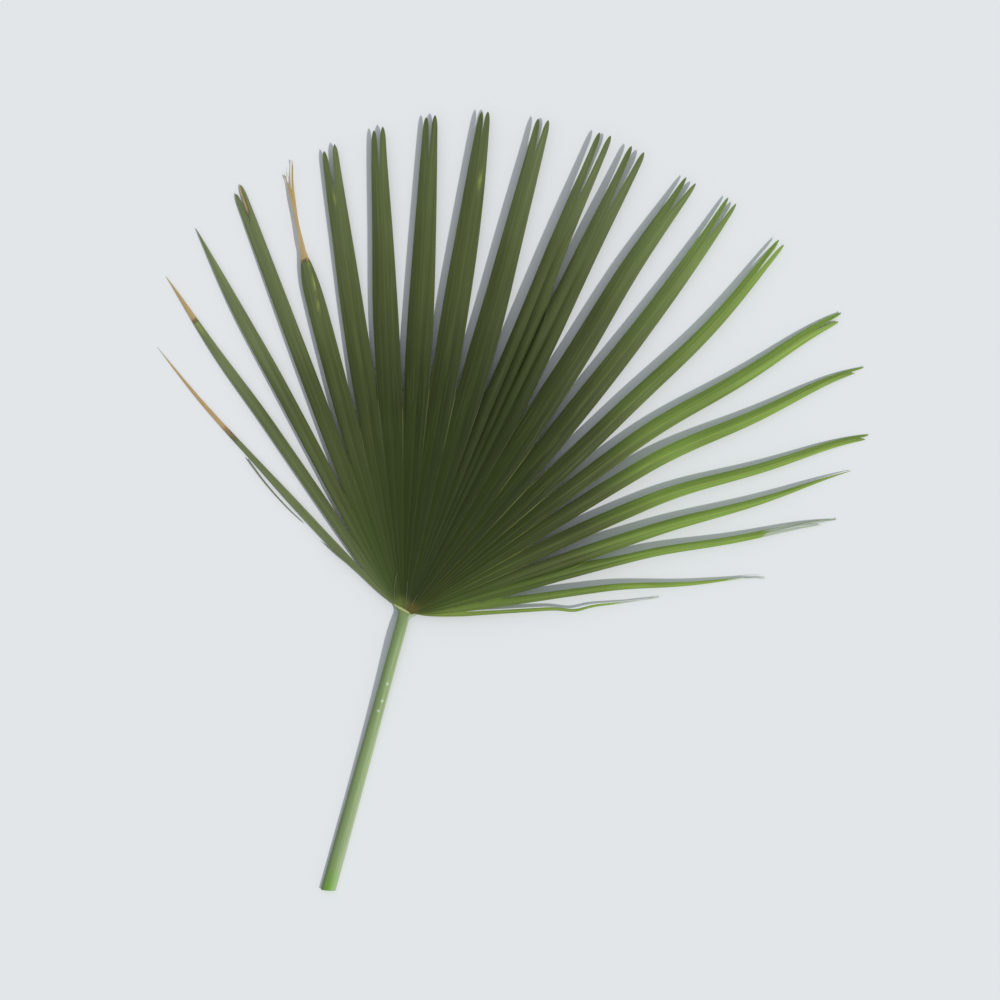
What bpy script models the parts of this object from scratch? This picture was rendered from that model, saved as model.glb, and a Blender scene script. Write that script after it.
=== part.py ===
"""Fan palm leaf, cut and laid down with the ribs of its back upwards.

One stiff blade, pleated like a fan from the crown and split into free segments with forked tips, on a
flat-bellied leaf stalk whose head ends in a low crest. Metres, +Z up, the leaf lies on the plane z = 0.
The stalk runs along Y and the blade opens towards +Y.
"""

import math
from collections import namedtuple

import bmesh
import bpy

# The crown is the point where all the folds of the blade meet. Directions are counter-clockwise from +X.
CROWN = (-0.0315, -0.0964)
CROWN_HEIGHT = 0.0066
LEFT_EDGE = 149.5
RIGHT_EDGE = 18.7
FAN_MIDDLE = 84.1
CROWN_NARROWING = 0.3

# The blade starts on an arc round the crown, a hair's breadth clear of the head of the stalk.
BLADE_START = 0.0140
SEAT_GAP = 0.0003
BLADE_THICKNESS = 0.0009
JOINED_STEPS = 7
FREE_STEPS = 8
FORK_STEPS = 4
SETTLING = 0.2
BOW_START = 0.55
WIDENING = 0.0006
WIDENING_LENGTH = 0.03

# The last segment has a small kink: degrees, distance from the crown and length.
KINKED = 21
KINK = 1.1
KINK_RADIUS = 0.137
KINK_LENGTH = 0.011

# Pressed flat where it is still joined, the blade keeps only this share of its folds. They deepen on either
# side of the gap, over shares of the joined length and of the whole segment.
PRESSED_SHARE = 0.38
PRESSED_END = 0.85
DEEPENING = 0.25

# The two prongs of a forked tip, pointed at their ends and more slender on the right of the fan.
PRONG_HALF_WIDTH = 0.0019
PRONG_SHARE = 0.36
ROUNDED_END = 0.010
ROUNDED_SHARE = 0.45
SLENDER_FROM = 12
SLENDER_SHARE = 0.68

# The stalk, from its slanted cut to its head.
STALK_LENGTH = 0.2230
STALK_CUT_WIDTH = 0.0116
STALK_NECK_WIDTH = 0.0094
STALK_CUT_DEPTH = 0.0052
STALK_NECK_DEPTH = 0.0058
STALK_CUT_SLANT = 0.0022
STALK_RESTING_LENGTH = 0.055
STALK_NECK_LIFT = 0.0040
STALK_SIDES = 16
BELLY_SHARE = 0.86

# Stations along the head of the stalk: distance past the crown, height of its back over its belly there.
HEAD_STATIONS = (
    (-0.0120, 0.0057),
    (-0.0050, 0.0054),
    (0.0000, 0.0050),
    (0.0025, 0.0046),
    (0.0045, 0.0041),
    (0.0070, 0.0035),
    (0.0092, 0.0030),
    (0.0110, 0.0041),
    (0.0127, 0.0040),
    (0.0135, 0.0034),
)

# root, drift, curl, bow: direction at the crown, its steady turn and its late turn on the way to the tip, and
# how far its outer half bows to the side in between (degrees). reach: crown to tip. joined: how far it stays
# joined to the next one. width: once free, seen from above. fullness: 1 where it narrows evenly to the tip,
# more where it stays broad for longer. fold: slope of its two halves (degrees). fork, spread, stagger: length
# of its forked tip, width across the two points, and how much longer the right one is. middle, tip: height of
# its rib half way and at the tip.
Segment = namedtuple(
    "Segment",
    "root drift curl bow reach joined width fullness fold fork spread stagger middle tip",
)
SEGMENTS = (
    Segment(148.3, 0.0, -0.9, 0.2, 0.294, 0.049, 0.0064, 3.2, 14, 0.000, 0.000, 0.000, 0.0031, 0.0000),
    Segment(139.9, 0.1, 0.0, 0.3, 0.334, 0.074, 0.0116, 3.0, 15, 0.000, 0.000, 0.000, 0.0049, 0.0010),
    Segment(133.0, 0.6, -0.3, 0.1, 0.355, 0.107, 0.0153, 3.1, 15, 0.000, 0.000, 0.000, 0.0064, 0.0015),
    Segment(127.1, -1.0, 0.3, 0.0, 0.369, 0.130, 0.0162, 0.9, 15, 0.031, 0.006, 0.0055, 0.0068, 0.0025),
    Segment(121.3, -0.1, -1.5, 0.0, 0.373, 0.154, 0.0180, 2.0, 14, 0.018, 0.008, 0.010, 0.0076, 0.0035),
    Segment(115.1, -0.5, -0.3, -0.1, 0.382, 0.176, 0.0231, 0.9, 14, 0.039, 0.009, 0.0042, 0.0068, 0.0060),
    Segment(108.8, 0.1, -0.6, -0.2, 0.393, 0.168, 0.0270, 0.9, 14, 0.036, 0.007, 0.0025, 0.0081, 0.0070),
    Segment(101.7, 0.6, 0.0, 0.0, 0.403, 0.183, 0.0235, 1.4, 14, 0.035, 0.007, 0.002, 0.0091, 0.0070),
    Segment(95.4, 0.8, 0.1, -0.1, 0.411, 0.179, 0.0219, 2.5, 14, 0.023, 0.005, 0.001, 0.0100, 0.0080),
    Segment(88.0, 1.8, 0.0, 0.1, 0.415, 0.181, 0.0250, 0.9, 14, 0.028, 0.008, 0.001, 0.0100, 0.0088),
    Segment(82.5, 0.3, 0.1, 0.2, 0.420, 0.279, 0.0203, 0.9, 10, 0.058, 0.009, 0.001, 0.0100, 0.0090),
    Segment(78.5, 0.1, 0.4, 0.2, 0.420, 0.177, 0.0217, 0.9, 10, 0.057, 0.011, 0.000, 0.0097, 0.0085),
    Segment(70.8, 2.2, -0.7, 0.4, 0.420, 0.163, 0.0255, 0.9, 15, 0.031, 0.009, 0.000, 0.0110, 0.0068),
    Segment(65.0, 1.4, 1.0, 0.0, 0.426, 0.141, 0.0229, 0.9, 18, 0.041, 0.008, 0.000, 0.0109, 0.0062),
    Segment(58.7, 0.6, 1.2, -0.5, 0.427, 0.143, 0.0178, 0.9, 24, 0.033, 0.0055, 0.000, 0.0113, 0.0070),
    Segment(54.4, -2.0, -2.1, -0.9, 0.425, 0.130, 0.0194, 0.9, 30, 0.027, 0.0055, -0.006, 0.0119, 0.0035),
    Segment(49.7, -2.3, -3.1, -1.1, 0.416, 0.107, 0.0160, 1.9, 33, 0.016, 0.0025, -0.009, 0.0132, 0.0020),
    Segment(44.2, -4.8, -2.3, -1.0, 0.399, 0.097, 0.0161, 0.9, 35, 0.012, 0.003, -0.004, 0.0120, 0.0015),
    Segment(37.1, -3.0, -0.1, -0.6, 0.378, 0.153, 0.0125, 1.8, 35, 0.000, 0.000, 0.000, 0.0125, 0.0018),
    Segment(32.1, -1.7, -1.8, -0.8, 0.349, 0.079, 0.0086, 0.9, 32, 0.050, 0.003, -0.014, 0.0120, 0.0015),
    Segment(25.6, -1.3, -2.0, -0.9, 0.292, 0.050, 0.0078, 1.6, 28, 0.000, 0.000, 0.000, 0.0103, 0.0000),
    Segment(21.5, -2.8, 2.1, 0.0, 0.206, 0.049, 0.0030, 2.0, 24, 0.000, 0.000, 0.000, 0.0075, 0.0000),
)

# The fifth segment has withered: past its green part only a narrow dry ribbon is left.
WITHERED = 4
WITHERED_FROM = 0.303
WITHERED_HALF_WIDTH = 0.0014
WITHERED_BLUNTNESS = 14


def remove_everything():
    for old in list(bpy.data.objects):
        bpy.data.objects.remove(old, do_unlink=True)


def mix(a, b, share):
    return a + (b - a) * share


def ease(share):
    share = min(max(share, 0.0), 1.0)
    return share * share * (3.0 - 2.0 * share)


def plain_material(name, colour, roughness):
    material = bpy.data.materials.new(name)
    material.use_nodes = True
    shader = material.node_tree.nodes["Principled BSDF"]
    shader.inputs["Base Color"].default_value = (*colour, 1.0)
    shader.inputs["Roughness"].default_value = roughness
    shader.inputs["Metallic"].default_value = 0.0
    return material


def finish_object(name, mesh, material, parent):
    mesh.materials.append(material)
    made = bpy.data.objects.new(name, mesh)
    made.parent = parent
    bpy.context.collection.objects.link(made)
    return made


# Lines of the blade

def narrowed(direction, radius):
    """The whole fan draws together near the crown, where it sits on the head of the stalk."""
    return FAN_MIDDLE + (direction - FAN_MIDDLE) * (1.0 - CROWN_NARROWING * (BLADE_START / radius) ** 2)


def rib_direction(number, radius):
    """Direction of a segment's rib, in degrees, at a distance from the crown."""
    segment = SEGMENTS[number]
    share = radius / segment.reach
    outer = min(max((share - BOW_START) / (1.0 - BOW_START), 0.0), 1.0)
    bowed = segment.bow * math.sin(math.pi * outer) ** 2
    if number == KINKED:
        bowed -= KINK * math.exp(-((radius - KINK_RADIUS) / KINK_LENGTH) ** 2)
    return narrowed(segment.root + segment.drift * share + segment.curl * share ** 4 + bowed, radius)


def rib_height(number, radius):
    """Height of a segment's rib: one low arch from the crown to the tip."""
    segment = SEGMENTS[number]
    share = min(radius / segment.reach, 1.0)
    tip = max(segment.tip, BLADE_THICKNESS / 2)
    control = 2.0 * segment.middle - (CROWN_HEIGHT + tip) / 2
    return (1 - share) ** 2 * CROWN_HEIGHT + 2 * share * (1 - share) * control + share ** 2 * tip


def fold_drop(number, across, radius):
    """How far a half of a segment has come down from its rib, at a distance across."""
    segment = SEGMENTS[number]
    free = ease((radius - PRESSED_END * segment.joined) / (DEEPENING * segment.reach))
    return across * math.tan(math.radians(segment.fold)) * mix(PRESSED_SHARE, 1.0, free)


def above_floor(height):
    """A drooping edge comes to lie on the floor with its underside."""
    return max(height, BLADE_THICKNESS / 2)


def joined_length(line):
    """Distance from the crown to the gap between segments line - 1 and line."""
    if line == 0:
        return SEGMENTS[0].joined
    return SEGMENTS[line - 1].joined


def valley_direction(line, radius):
    """A valley runs midway between its two ribs. The outermost ones are the edges of the blade."""
    if line == 0:
        return narrowed(LEFT_EDGE, radius)
    if line == len(SEGMENTS):
        return narrowed(RIGHT_EDGE, radius)
    return (rib_direction(line - 1, radius) + rib_direction(line, radius)) / 2


def valley_height(line, radius):
    heights = []
    for number in (line - 1, line):
        if 0 <= number < len(SEGMENTS):
            turn = abs(rib_direction(number, radius) - valley_direction(line, radius))
            across = radius * math.radians(turn)
            heights.append(rib_height(number, radius) - fold_drop(number, across, radius))
    return sum(heights) / len(heights)


def side_reach(number, side):
    """Crown to the point of one half of a segment. side is 1 for the left half and -1 for the right."""
    segment = SEGMENTS[number]
    return segment.reach - side * segment.stagger / 2


def fork_radius(number):
    """Where the forked tip starts. Unforked tips get their last stations over the same kind of length."""
    segment = SEGMENTS[number]
    if segment.fork:
        return segment.reach - segment.fork
    return mix(segment.reach, segment.joined, 0.2)


def prong_half_width(number, side, radius):
    """Half the width of one prong of a forked tip, rounded off towards its point."""
    full = min(PRONG_HALF_WIDTH, PRONG_SHARE * SEGMENTS[number].spread)
    if number >= SLENDER_FROM:
        full *= SLENDER_SHARE
    if number == WITHERED:
        return 0.0
    to_point = (side_reach(number, side) - radius) / rounded_length(number)
    return full * math.sqrt(1.0 - (1.0 - min(max(to_point, 0.0), 1.0)) ** 2)


def rounded_length(number):
    """How much of a prong's end is rounded off."""
    return min(ROUNDED_END, ROUNDED_SHARE * max(SEGMENTS[number].fork, 0.010))


def soft_minimum(a, b, softness):
    return min(a, b) - softness * math.log(1.0 + math.exp(-abs(a - b) / softness))


def opening_gap(share):
    """A gap opens at once and then settles to the free width: 0 to 1."""
    return 1.0 - (1.0 - min(share, 1.0)) ** 2


def free_half_width(number, side, radius):
    """Half the width of a free segment: hardly wider than at its gap, then narrowing to its point."""
    segment = SEGMENTS[number]
    line = number if side > 0 else number + 1
    start = joined_length(line)
    tapering = min(joined_length(number), joined_length(number + 1))
    share = min((radius - tapering) / (side_reach(number, side) - tapering), 1.0)
    turn = abs(rib_direction(number, start) - valley_direction(line, start))
    joined_half = start * math.radians(turn)
    blunt = segment.spread / 2 + prong_half_width(number, side, radius)
    half = mix(blunt, segment.width / 2, 1 - share ** segment.fullness)
    if number == WITHERED:
        half = withered_half_width(radius)
    if 0 < line < len(SEGMENTS):
        widening = WIDENING * (1.0 - math.exp((start - radius) / WIDENING_LENGTH))
        half = soft_minimum(half, joined_half + widening, 0.0003)
    settled = (radius - start) / (SETTLING * (side_reach(number, side) - start))
    return mix(joined_half, half, opening_gap(settled))


def withered_half_width(radius):
    segment = SEGMENTS[WITHERED]
    if radius < WITHERED_FROM:
        return mix(segment.width / 2, WITHERED_HALF_WIDTH, (radius / WITHERED_FROM) ** WITHERED_BLUNTNESS)
    past_fork = max(radius - fork_radius(WITHERED), 0.0) / segment.fork
    return mix(WITHERED_HALF_WIDTH, segment.spread / 2, min(past_fork, 1.0))


def place(direction, radius, height):
    angle = math.radians(direction)
    return (radius * math.cos(angle), radius * math.sin(angle), height)


class BladeLines:
    """Points of the blade's middle surface, kept by the name of the line and the station along it."""

    def __init__(self):
        self.points = []
        self.index = {}

    def point(self, key, direction, radius, height):
        if key not in self.index:
            self.index[key] = len(self.points)
            self.points.append(place(direction, radius, height))
        return self.index[key]

    def edge_line(self, number, side):
        """The edge of one half: a shared valley to its gap, then a free margin to its point."""
        segment = SEGMENTS[number]
        line = number if side > 0 else number + 1
        start = joined_length(line)
        found = []
        for step in range(JOINED_STEPS + 1):
            radius = mix(BLADE_START, start, step / JOINED_STEPS)
            direction = valley_direction(line, radius)
            found.append(self.point(("valley", line, step), direction, radius, valley_height(line, radius)))
        for radius, step in free_stations(number, side, start):
            half = free_half_width(number, side, radius)
            direction = rib_direction(number, radius) + side * math.degrees(half / radius)
            height = above_floor(rib_height(number, radius) - fold_drop(number, half, radius))
            if step == FREE_STEPS + FORK_STEPS:
                direction = tip_direction(number, side)
                height = rib_height(number, segment.reach)
                found.append(self.point(tip_key(number, side), direction, radius, height))
            else:
                found.append(self.point(("edge", number, side, step), direction, radius, height))
        return found

    def rib_line(self, number, side):
        """The rib to the fork, then the inner edge of one prong of the fork."""
        segment = SEGMENTS[number]
        start = (joined_length(number) + joined_length(number + 1)) / 2
        found = []
        for step in range(JOINED_STEPS + 1):
            radius = mix(BLADE_START, start, step / JOINED_STEPS)
            height = rib_height(number, radius)
            found.append(self.point(("rib", number, step), rib_direction(number, radius), radius, height))
        for radius, step in free_stations(number, side, start):
            direction = rib_direction(number, radius)
            height = rib_height(number, radius)
            if step == FREE_STEPS + FORK_STEPS:
                direction = tip_direction(number, side)
                height = rib_height(number, segment.reach)
                key = tip_key(number, side)
            elif step > FREE_STEPS and segment.fork:
                opened = (radius - fork_radius(number)) / (side_reach(number, side) - fork_radius(number))
                opening = opened * (segment.spread / 2 - prong_half_width(number, side, radius))
                direction += side * math.degrees(opening / radius)
                height = above_floor(height - fold_drop(number, opening, radius))
                key = ("prong", number, side, step)
            else:
                key = ("free rib", number, step)
            found.append(self.point(key, direction, radius, height))
        return found


def free_stations(number, side, start):
    """Stations past a gap: first to the fork, then to the point."""
    fork = fork_radius(number)
    end = side_reach(number, side)
    for step in range(1, FREE_STEPS + 1):
        yield mix(start, fork, step / FREE_STEPS), step
    rounded = end - rounded_length(number)
    for step, radius in enumerate((mix(fork, rounded, 0.5), rounded, mix(rounded, end, 0.75), end), 1):
        yield radius, FREE_STEPS + step


def tip_key(number, side):
    if SEGMENTS[number].fork:
        return ("tip", number, side)
    return ("tip", number)


def tip_direction(number, side):
    segment = SEGMENTS[number]
    middle = rib_direction(number, segment.reach)
    return middle + side * math.degrees(segment.spread / 2 / segment.reach)


def strip_triangles(left, right):
    """Triangles between two lines of equal length, seen from above with the crown at the bottom."""
    for near in range(len(left) - 1):
        corners = (left[near], right[near], right[near + 1], left[near + 1])
        for triangle in ((corners[0], corners[1], corners[2]), (corners[0], corners[2], corners[3])):
            if len(set(triangle)) == 3:
                yield triangle


def thicken(points, triangles, thickness):
    """A closed sheet: the same triangles above and below, and a wall along every open edge."""
    count = len(points)
    top = [(x, y, z + thickness / 2) for x, y, z in points]
    under = [(x, y, z - thickness / 2) for x, y, z in points]
    faces = [list(triangle) for triangle in triangles]
    faces += [[count + corner for corner in reversed(triangle)] for triangle in triangles]
    directed = set()
    for a, b, c in triangles:
        directed.update(((a, b), (b, c), (c, a)))
    for a, b in sorted(directed):
        if (b, a) not in directed:
            faces.append([b, a, count + a])
            faces.append([b, count + a, count + b])
    return top + under, faces


def build_blade(parent):
    lines = BladeLines()
    triangles = []
    for number in range(len(SEGMENTS)):
        left_edge = lines.edge_line(number, 1)
        left_rib = lines.rib_line(number, 1)
        right_rib = lines.rib_line(number, -1)
        right_edge = lines.edge_line(number, -1)
        triangles += strip_triangles(left_edge, left_rib)
        triangles += strip_triangles(right_rib, right_edge)
    points, faces = thicken(lines.points, triangles, BLADE_THICKNESS)
    mesh = bpy.data.meshes.new("blade")
    mesh.from_pydata(points, [], faces)
    mesh.update()
    green = plain_material("blade green", (0.085, 0.125, 0.030), 0.45)
    return finish_object("blade", mesh, green, parent)


# Stalk

def stalk_station(along):
    """Half width, depth and height of the belly, from the cut (0) to the neck under the head (1)."""
    half = mix(STALK_CUT_WIDTH, STALK_NECK_WIDTH, ease(along)) / 2
    depth = mix(STALK_CUT_DEPTH, STALK_NECK_DEPTH, along)
    resting = STALK_RESTING_LENGTH / STALK_LENGTH
    rise = max(along - resting, 0.0) / (1.0 - resting)
    return half, depth, STALK_NECK_LIFT * rise ** 2


def head_half_widths(y):
    """The head spreads along the two outer edges of the blade and ends on the arc where the blade starts."""
    arc_radius = BLADE_START - SEAT_GAP
    arc = math.sqrt(max(arc_radius ** 2 - y ** 2, 0.0))
    left_slope = math.tan(math.radians(180.0 - narrowed(LEFT_EDGE, BLADE_START)))
    right_slope = math.tan(math.radians(narrowed(RIGHT_EDGE, BLADE_START)))
    neck = STALK_NECK_WIDTH / 2
    left = min(max(neck, y / left_slope), arc)
    right = min(max(neck, y / right_slope), arc)
    return left, right


def stalk_ring(y, left, right, belly, depth, slant):
    """One cross-section: a flat belly and a rounded back. slant tilts it for the cut."""
    ring = []
    for side in range(STALK_SIDES):
        angle = 2.0 * math.pi * side / STALK_SIDES
        across = math.cos(angle)
        half = right if across > 0 else left
        lift = math.sin(angle)
        if lift < -0.01:
            x = across * half * BELLY_SHARE
            z = belly
        else:
            x = across * half
            z = belly + depth * (0.22 + 0.78 * max(lift, 0.0))
        ring.append((x, y + slant * x / STALK_CUT_WIDTH, z))
    return ring


def stalk_rings():
    rings = []
    steps = 12
    for step in range(steps + 1):
        along = step / steps
        half, depth, belly = stalk_station(along)
        y = mix(-STALK_LENGTH, -0.020, along)
        slant = STALK_CUT_SLANT * (1.0 - ease(along * 2.0))
        rings.append(stalk_ring(y, half, half, belly, depth, slant))
    for y, depth in HEAD_STATIONS:
        left, right = head_half_widths(y)
        rings.append(stalk_ring(y, left, right, STALK_NECK_LIFT + max(y, 0.0) * 0.06, depth, 0.0))
    return rings


def build_stalk(parent):
    rings = stalk_rings()
    bm = bmesh.new()
    made = [[bm.verts.new(corner) for corner in ring] for ring in rings]
    for near, far in zip(made, made[1:]):
        for side in range(STALK_SIDES):
            after = (side + 1) % STALK_SIDES
            bm.faces.new((near[side], near[after], far[after], far[side]))
    bm.faces.new(list(reversed(made[0])))
    bm.faces.new(made[-1])
    bmesh.ops.recalc_face_normals(bm, faces=bm.faces)
    bmesh.ops.triangulate(bm, faces=bm.faces)
    mesh = bpy.data.meshes.new("stalk")
    bm.to_mesh(mesh)
    bm.free()
    mesh.shade_smooth()
    mesh.set_sharp_from_angle(angle=math.radians(40))
    green = plain_material("stalk green", (0.25, 0.39, 0.13), 0.4)
    return finish_object("stalk", mesh, green, parent)


def main():
    remove_everything()
    leaf = bpy.data.objects.new("leaf", None)
    leaf.location = (*CROWN, 0.0)
    bpy.context.collection.objects.link(leaf)
    build_blade(leaf)
    build_stalk(leaf)


main()
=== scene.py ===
"""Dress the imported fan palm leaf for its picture.

The blade is pleated from strips, one for each half of a segment, and the stalk is drawn out ring by ring.
Crest, loose fibres and frayed ends are pieces of their own. Everything is in metres, in the frame of the CAD.
"""

import math
from collections import namedtuple

import bmesh
import bpy
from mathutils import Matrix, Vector


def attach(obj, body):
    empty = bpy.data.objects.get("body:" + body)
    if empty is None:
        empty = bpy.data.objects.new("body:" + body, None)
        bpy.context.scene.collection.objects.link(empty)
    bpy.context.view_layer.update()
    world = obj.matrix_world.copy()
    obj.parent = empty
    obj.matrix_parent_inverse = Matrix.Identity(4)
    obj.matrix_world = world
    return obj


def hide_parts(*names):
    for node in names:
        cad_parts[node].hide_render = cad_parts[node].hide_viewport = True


bl_info = {
    "name": "Fan palm leaf",
    "version": (1, 0, 0),
    "blender": (4, 5, 0),
    "location": "3D View > Sidebar > Palm Leaf",
    "description": "Grows the pleated blade, the stalk and the loose fibres of a cut fan palm leaf",
    "category": "Add Mesh",
}

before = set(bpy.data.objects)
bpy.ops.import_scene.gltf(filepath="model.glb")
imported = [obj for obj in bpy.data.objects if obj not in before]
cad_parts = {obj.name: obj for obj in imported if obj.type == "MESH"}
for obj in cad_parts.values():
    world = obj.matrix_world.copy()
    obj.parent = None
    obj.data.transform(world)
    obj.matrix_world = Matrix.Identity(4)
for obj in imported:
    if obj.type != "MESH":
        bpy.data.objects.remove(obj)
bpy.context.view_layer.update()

# The crown is the point where all the folds of the blade meet. Directions are counter-clockwise from +X.
CROWN = (-0.0315, -0.0964)
CROWN_HEIGHT = 0.0066
LEFT_EDGE = 149.5
RIGHT_EDGE = 18.7
FAN_MIDDLE = 84.1
CROWN_NARROWING = 0.3
BLADE_START = 0.0140
SEAT_GAP = 0.0003
FLOOR_CLEARANCE = 0.00045

# root, drift, curl, bow: direction at the crown, its steady turn and its late turn on the way to the tip, and
# how far its outer half bows to the side in between (degrees). reach: crown to tip. joined: how far it stays
# joined to the next one. width: once free, seen from above. fullness: 1 where it narrows evenly to the tip,
# more where it stays broad for longer. fold: slope of its two halves (degrees). fork, spread, stagger: length
# of its forked tip, width across the two points, and how much longer the right one is. middle, tip: height of
# its rib half way and at the tip.
Segment = namedtuple(
    "Segment",
    "root drift curl bow reach joined width fullness fold fork spread stagger middle tip",
)
SEGMENTS = (
    Segment(148.3, 0.0, -0.9, 0.2, 0.294, 0.049, 0.0064, 3.2, 14, 0.000, 0.000, 0.000, 0.0031, 0.0000),
    Segment(139.9, 0.1, 0.0, 0.3, 0.334, 0.074, 0.0116, 3.0, 15, 0.000, 0.000, 0.000, 0.0049, 0.0010),
    Segment(133.0, 0.6, -0.3, 0.1, 0.355, 0.107, 0.0153, 3.1, 15, 0.000, 0.000, 0.000, 0.0064, 0.0015),
    Segment(127.1, -1.0, 0.3, 0.0, 0.369, 0.130, 0.0162, 0.9, 15, 0.031, 0.006, 0.0055, 0.0068, 0.0025),
    Segment(121.3, -0.1, -1.5, 0.0, 0.373, 0.154, 0.0180, 2.0, 14, 0.018, 0.008, 0.010, 0.0076, 0.0035),
    Segment(115.1, -0.5, -0.3, -0.1, 0.382, 0.176, 0.0231, 0.9, 14, 0.039, 0.009, 0.0042, 0.0068, 0.0060),
    Segment(108.8, 0.1, -0.6, -0.2, 0.393, 0.168, 0.0270, 0.9, 14, 0.036, 0.007, 0.0025, 0.0081, 0.0070),
    Segment(101.7, 0.6, 0.0, 0.0, 0.403, 0.183, 0.0235, 1.4, 14, 0.035, 0.007, 0.002, 0.0091, 0.0070),
    Segment(95.4, 0.8, 0.1, -0.1, 0.411, 0.179, 0.0219, 2.5, 14, 0.023, 0.005, 0.001, 0.0100, 0.0080),
    Segment(88.0, 1.8, 0.0, 0.1, 0.415, 0.181, 0.0250, 0.9, 14, 0.028, 0.008, 0.001, 0.0100, 0.0088),
    Segment(82.5, 0.3, 0.1, 0.2, 0.420, 0.279, 0.0203, 0.9, 10, 0.058, 0.009, 0.001, 0.0100, 0.0090),
    Segment(78.5, 0.1, 0.4, 0.2, 0.420, 0.177, 0.0217, 0.9, 10, 0.057, 0.011, 0.000, 0.0097, 0.0085),
    Segment(70.8, 2.2, -0.7, 0.4, 0.420, 0.163, 0.0255, 0.9, 15, 0.031, 0.009, 0.000, 0.0110, 0.0068),
    Segment(65.0, 1.4, 1.0, 0.0, 0.426, 0.141, 0.0229, 0.9, 18, 0.041, 0.008, 0.000, 0.0109, 0.0062),
    Segment(58.7, 0.6, 1.2, -0.5, 0.427, 0.143, 0.0178, 0.9, 24, 0.033, 0.0055, 0.000, 0.0113, 0.0070),
    Segment(54.4, -2.0, -2.1, -0.9, 0.425, 0.130, 0.0194, 0.9, 30, 0.027, 0.0055, -0.006, 0.0119, 0.0035),
    Segment(49.7, -2.3, -3.1, -1.1, 0.416, 0.107, 0.0160, 1.9, 33, 0.016, 0.0025, -0.009, 0.0132, 0.0020),
    Segment(44.2, -4.8, -2.3, -1.0, 0.399, 0.097, 0.0161, 0.9, 35, 0.012, 0.003, -0.004, 0.0120, 0.0015),
    Segment(37.1, -3.0, -0.1, -0.6, 0.378, 0.153, 0.0125, 1.8, 35, 0.000, 0.000, 0.000, 0.0125, 0.0018),
    Segment(32.1, -1.7, -1.8, -0.8, 0.349, 0.079, 0.0086, 0.9, 32, 0.050, 0.003, -0.014, 0.0120, 0.0015),
    Segment(25.6, -1.3, -2.0, -0.9, 0.292, 0.050, 0.0078, 1.6, 28, 0.000, 0.000, 0.000, 0.0103, 0.0000),
    Segment(21.5, -2.8, 2.1, 0.0, 0.206, 0.049, 0.0030, 2.0, 24, 0.000, 0.000, 0.000, 0.0075, 0.0000),
)

# A gap settles to its width over this share of the free length, and a bow starts at this share of the
# reach.
SETTLING = 0.2
BOW_START = 0.55

# Past its gap a free segment is hardly wider than at it: by how much at most, over what length, and
# how softly the two widths meet.
WIDENING = 0.0006
WIDENING_LENGTH = 0.03
MEETING_SOFTNESS = 0.0003

# The last segment has a small kink: degrees, distance from the crown and length.
KINKED = 21
KINK = 1.1
KINK_RADIUS = 0.137
KINK_LENGTH = 0.011

# The two prongs of a forked tip, pointed at their ends and more slender on the right of the fan.
PRONG_HALF_WIDTH = 0.0019
PRONG_SHARE = 0.36
ROUNDED_END = 0.010
ROUNDED_SHARE = 0.45
SLENDER_FROM = 12
SLENDER_SHARE = 0.68

# The fifth segment has withered: past its green part only a narrow dry ribbon is left.
WITHERED = 4
WITHERED_FROM = 0.303
WITHERED_HALF_WIDTH = 0.00145
WITHERED_WAVE = 0.00060
WITHERED_TWIST = 0.0014
WITHERED_PITCH = 0.052
WITHERED_BLUNTNESS = 14

# Pressed flat where it is still joined, the blade keeps only this share of its folds. They deepen on either
# side of the gap, over shares of the joined length and of the whole segment.
PRESSED_SHARE = 0.38
PRESSED_END = 0.85
DEEPENING = 0.25

# The blade starts along the crest, a straight line across the head of the stalk, given from the crown.
CREST_LEFT = (-0.0102, 0.0112)
CREST_RIGHT = (0.0050, 0.0076)
NARROWEST = 0.0108

# Segments that have dried from the tip inwards: where it begins and over what length it sets in.
DRIED = {0: (0.203, 0.050), 1: (0.292, 0.012), 4: (0.2978, 0.008)}

# Segments that have bleached: the same two, and how strongly on the left and on the right half.
BLEACHED = {
    0: (0.268, 0.034, 0.55, 0.55),
    19: (0.296, 0.026, 0.75, 1.00),
    20: (0.274, 0.024, 1.00, 1.00),
    21: (0.172, 0.030, 1.00, 1.00),
}

# The fork that is brown inside, and how strongly on its left and on its right prong.
SCORCHED_FORK = 3
SCORCHED_LEFT = 0.3
SCORCHED_RIGHT = 0.9

# The first segment has shrunk towards its dry tip: by what share, from where and over what length.
SHRIVELLED = 0
SHRIVELLED_SHARE = 0.26
SHRIVELLED_FROM = 0.120
SHRIVELLED_LENGTH = 0.070

# Yellow blotches: number of the segment, distance to the left of its rib and from the crown, length. All
# have the same half width.
BLOTCH_HALF_WIDTH = 0.0011
BLOTCHES = (
    (8, -0.0034, 0.356, 0.0055),
    (4, -0.0026, 0.2965, 0.0030),
    (4, -0.0034, 0.2780, 0.0050),
    (4, -0.0020, 0.2600, 0.0040),
    (5, 0.0012, 0.3420, 0.0050),
    (1, 0.0000, 0.2860, 0.0060),
)


def mix(a, b, share):
    return a + (b - a) * share


def ease(share):
    share = min(max(share, 0.0), 1.0)
    return share * share * (3.0 - 2.0 * share)


# Sizes and colours


def colour_setting(name, description, default):
    return bpy.props.FloatVectorProperty(
        name=name,
        description=description,
        subtype="COLOR",
        size=3,
        min=0.0,
        max=1.0,
        default=default,
    )


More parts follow.
